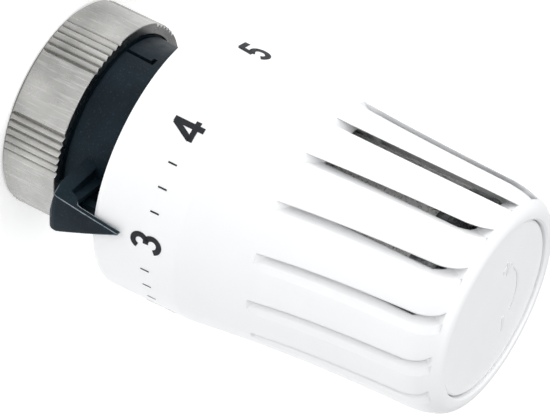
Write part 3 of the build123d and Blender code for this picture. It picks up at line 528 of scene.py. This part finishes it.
def print_dial(material):
    """Numbers, frost mark and the short marks on both sides of the middle number."""
    radius_at = wheel_surface()
    for digit in range(1, 6):
        angle = DIAL_FIRST_ANGLE + (MIDDLE_DIGIT - digit) * DIAL_PITCH
        print_on_wheel(f"dial_{digit}", digit_strokes(digit), DIGIT_STROKE, angle,
                       DIAL_MIDDLE, material, radius_at)
    print_on_wheel("dial_frost", frost_strokes(), FROST_STROKE,
                   DIAL_FIRST_ANGLE + FROST_OFFSET, DIAL_MIDDLE, material, radius_at)
    half = MARK_LENGTH / MM / 2
    for side, word in ((-1, "below"), (1, "above")):
        for i, offset in enumerate(MARK_OFFSETS):
            print_on_wheel(f"dial_mark_{word}_{i}", [[(0, half), (0, -half)]], MARK_WIDTH,
                           DIAL_FIRST_ANGLE + side * offset, MARK_MIDDLE[side], material,
                           radius_at)


# ------------------------------------------------------------------ end disc and nut details
def raise_strip(name, edges, base, top, material):
    """Closed raised strip through (left, right) edge points in the plane of the disc."""
    verts, faces = [], []
    for left, right in edges:
        verts += [(*left, base), (*right, base), (*right, top), (*left, top)]
    for i in range(len(edges) - 1):
        for corner in range(4):
            a = 4 * i + corner
            b = 4 * i + (corner + 1) % 4
            faces.append((a, b, b + 4, a + 4))
    last = 4 * (len(edges) - 1)
    faces.append((3, 2, 1, 0))
    faces.append((last, last + 1, last + 2, last + 3))
    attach(linked_mesh(name, verts, faces, material), "wheel")


def straight_edges(centre, angle, length, width):
    """Edge points of a straight bar round a centre."""
    along = Vector((math.cos(angle), math.sin(angle))) * length / 2
    across = Vector((-math.sin(angle), math.cos(angle))) * width / 2
    return [(tuple(centre - along + across), tuple(centre - along - across)),
            (tuple(centre + along + across), tuple(centre + along - across))]


def raise_motif(material):
    """Turning arc with a minus and a plus sign, raised on the end disc."""
    top_z = max(v.co.z for v in nodes["end_disc"].data.vertices)
    base, top = top_z - MOTIF_SINK, top_z + MOTIF_HEIGHT
    arc = []
    for i in range(MOTIF_STEPS + 1):
        share = i / MOTIF_STEPS
        angle = math.radians(MOTIF_MIDDLE + (share - 0.5) * MOTIF_SWEEP)
        swell = MOTIF_END_SHARE + MOTIF_SWELL_SHARE * math.sin(math.pi * share)
        half = MOTIF_WIDTH / 2 * swell
        direction = Vector((math.cos(angle), math.sin(angle)))
        arc.append((tuple(direction * (MOTIF_RADIUS + half)),
                    tuple(direction * (MOTIF_RADIUS - half))))
    raise_strip("motif_arc", arc, base, top, material)
    for sign, word in ((-1, "minus"), (1, "plus")):
        angle = math.radians(MOTIF_MIDDLE + sign * (MOTIF_SWEEP / 2 + MOTIF_SIGN_GAP))
        centre = Vector((math.cos(angle), math.sin(angle))) * MOTIF_RADIUS
        along = math.radians(MOTIF_MIDDLE) + math.pi / 2
        bar = straight_edges(centre, along, MOTIF_SIGN, MOTIF_WIDTH)
        raise_strip(f"motif_{word}", bar, base, top, material)
        if word == "plus":
            upright = straight_edges(centre, along + math.pi / 2, MOTIF_SIGN, MOTIF_WIDTH)
            raise_strip("motif_plus_upright", upright, base, top + MOTIF_UPRIGHT_LIFT, material)


def cut_thread(material):
    """Right-hand thread ridge inside the nut that fades in and out at its ends."""
    total = round((THREAD_END - THREAD_START) / THREAD_PITCH * THREAD_STEPS)
    verts, faces = [], []
    for i in range(total + 1):
        angle = 2 * math.pi * i / THREAD_STEPS
        z = THREAD_START + THREAD_PITCH * i / THREAD_STEPS
        run_in = min(1.0, i / THREAD_RUN_IN, (total - i) / THREAD_RUN_IN)
        crest = THREAD_FADE - (THREAD_FADE - THREAD_CREST) * run_in
        for radius, shift in ((THREAD_ROOT, -THREAD_ROOT_HALF), (crest, -THREAD_CREST_HALF),
                              (crest, THREAD_CREST_HALF), (THREAD_ROOT, THREAD_ROOT_HALF)):
            verts.append((radius * math.cos(angle), radius * math.sin(angle), z + shift))
        if i:
            n = len(verts)
            for corner in range(3):
                faces.append((n - 8 + corner, n - 7 + corner, n - 3 + corner, n - 4 + corner))
            faces.append((n - 5, n - 8, n - 4, n - 1))
    faces.append((3, 2, 1, 0))
    n = len(verts)
    faces.append((n - 4, n - 3, n - 2, n - 1))
    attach(linked_mesh("nut_thread", verts, faces, material), "nut")


# ------------------------------------------------------------------ stage
def make_camera():
    elevation = math.radians(CAMERA_ELEVATION)
    roll = math.radians(CAMERA_ROLL)
    back = Vector((0, -math.cos(elevation), math.sin(elevation)))
    level_up = Vector((0, math.sin(elevation), math.cos(elevation)))
    right = Vector((1, 0, 0)) * math.cos(roll) + level_up * math.sin(roll)
    up = back.cross(right)
    data = bpy.data.cameras.new("camera")
    data.lens = CAMERA_LENS
    data.sensor_width = CAMERA_SENSOR
    camera = bpy.data.objects.new("camera", data)
    bpy.context.scene.collection.objects.link(camera)
    turn = Matrix((right, up, back)).transposed()
    position = CAMERA_AIM + back * CAMERA_DISTANCE
    camera.matrix_world = Matrix.Translation(position) @ turn.to_4x4()
    data.clip_start, data.clip_end = CAMERA_CLIP
    bpy.context.scene.camera = camera


def make_floor():
    size = FLOOR_HALF_SIZE
    corners = [(-size, -size, 0), (size, -size, 0), (size, size, 0), (-size, size, 0)]
    floor = linked_mesh("floor", corners, [(0, 1, 2, 3)], floor_material())


def area_light(name, position, side, power):
    data = bpy.data.lights.new(name, "AREA")
    data.shape = "RECTANGLE"
    data.size = data.size_y = side
    data.energy = power
    light = bpy.data.objects.new(name, data)
    bpy.context.scene.collection.objects.link(light)
    light.location = position
    aim = LIGHT_AIM - Vector(position)
    light.rotation_euler = aim.to_track_quat("-Z", "Y").to_euler()


def make_lights():
    world = bpy.data.worlds.new("studio")
    world.use_nodes = True
    background = world.node_tree.nodes["Background"]
    background.inputs["Color"].default_value = WORLD_COLOUR
    background.inputs["Strength"].default_value = WORLD_STRENGTH
    bpy.context.scene.world = world
    for light in LIGHTS:
        area_light(*light)


# ------------------------------------------------------------------ put it together
make_camera()
finishes = paint_nodes()
print_dial(ink())
raise_motif(white_plastic("motif_plastic", 0.05 * MM))
cut_thread(finishes["nickel_plated_brass"])
make_floor()
make_lights()
bpy.context.scene.view_settings.view_transform = "Standard"
